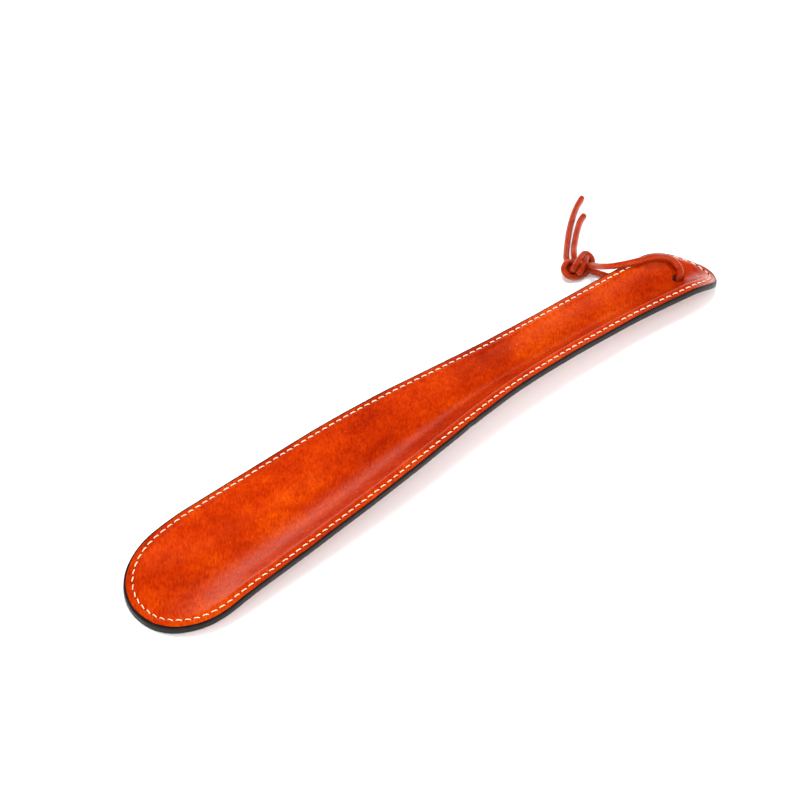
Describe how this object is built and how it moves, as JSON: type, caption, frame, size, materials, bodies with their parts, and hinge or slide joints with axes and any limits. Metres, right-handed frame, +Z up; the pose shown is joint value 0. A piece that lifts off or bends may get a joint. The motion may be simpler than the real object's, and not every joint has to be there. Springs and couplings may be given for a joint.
{
  "type": "long shoehorn",
  "caption": "Long shoehorn: leather covers hand sewn over a sprung steel trough, with a bow along its length and a knotted leather hanging lace.",
  "frame": {"origin": "middle of the shoehorn's own box at its base, on the surface that it lies on", "axes": "+X along the length from the blade to the handle, +Y across towards the knot of the lace, +Z up out of the open side of the trough"},
  "size_m": [0.3824, 0.1206, 0.025],
  "materials": {
    "cover_leather": "smooth orange-red tan leather with a soft sheen",
    "core_steel": "plain sprung sheet, sealed inside",
    "edge_paint": "rounded black edge coat, half gloss",
    "waxed_thread": "cream waxed thread",
    "lace_leather": "round orange-red leather lace with a fine grain"
  },
  "bodies": {
    "root": {"front_cover": "cover_leather", "steel_core": "core_steel", "back_cover": "cover_leather", "edge_coat": "edge_paint", "front_stitching": "waxed_thread", "back_stitching": "waxed_thread", "lace_upper_leg": "lace_leather", "lace_lower_leg": "lace_leather", "lace_knot": "lace_leather", "lace_long_tail": "lace_leather", "lace_short_tail": "lace_leather"}
  },
  "joints": []
}
